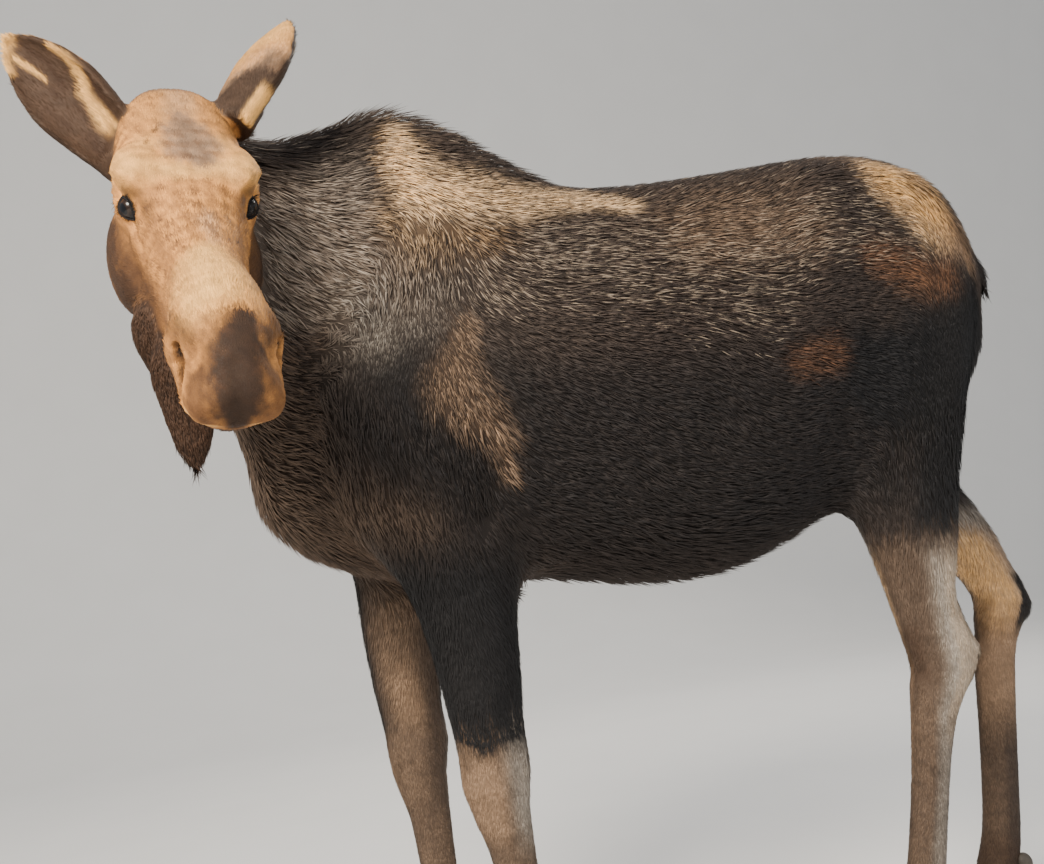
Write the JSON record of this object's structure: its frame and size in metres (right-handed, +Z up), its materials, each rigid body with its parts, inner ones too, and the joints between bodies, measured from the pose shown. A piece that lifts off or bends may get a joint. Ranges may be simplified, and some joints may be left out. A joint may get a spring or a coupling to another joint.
{
  "type": "moose",
  "caption": "Life-size standing cow moose in a dark winter coat, head turned to one side to look at the viewer, with a dewlap under the throat and cloven hooves.",
  "frame": {"origin": "on the ground under the middle of the animal's bounding box", "axes": "The animal faces -X and its left side is -Y; +Z is up. The head is turned toward -Y."},
  "size_m": [1.9786, 0.983, 1.8677],
  "materials": {
    "coat": "coarse matt winter hair",
    "face": "short matt hair",
    "leg": "short matt hair",
    "horn": "worn dull hoof horn",
    "eye": "wet and glossy"
  },
  "bodies": {
    "root": {"bell": "coat", "ear_left": "face", "ear_right": "face", "eye_left": "eye", "eye_right": "eye", "foredewclaw_left_inner": "horn", "foredewclaw_left_outer": "horn", "foredewclaw_right_inner": "horn", "foredewclaw_right_outer": "horn", "forehoof_left_inner": "horn", "forehoof_left_outer": "horn", "forehoof_right_inner": "horn", "forehoof_right_outer": "horn", "foreleg_left": "leg", "foreleg_right": "leg", "head": "face", "hinddewclaw_left_inner": "horn", "hinddewclaw_left_outer": "horn", "hinddewclaw_right_inner": "horn", "hinddewclaw_right_outer": "horn", "hindhoof_left_inner": "horn", "hindhoof_left_outer": "horn", "hindhoof_right_inner": "horn", "hindhoof_right_outer": "horn", "hindleg_left": "leg", "hindleg_right": "leg", "neck": "coat", "tail": "coat", "trunk": "coat"}
  },
  "joints": []
}
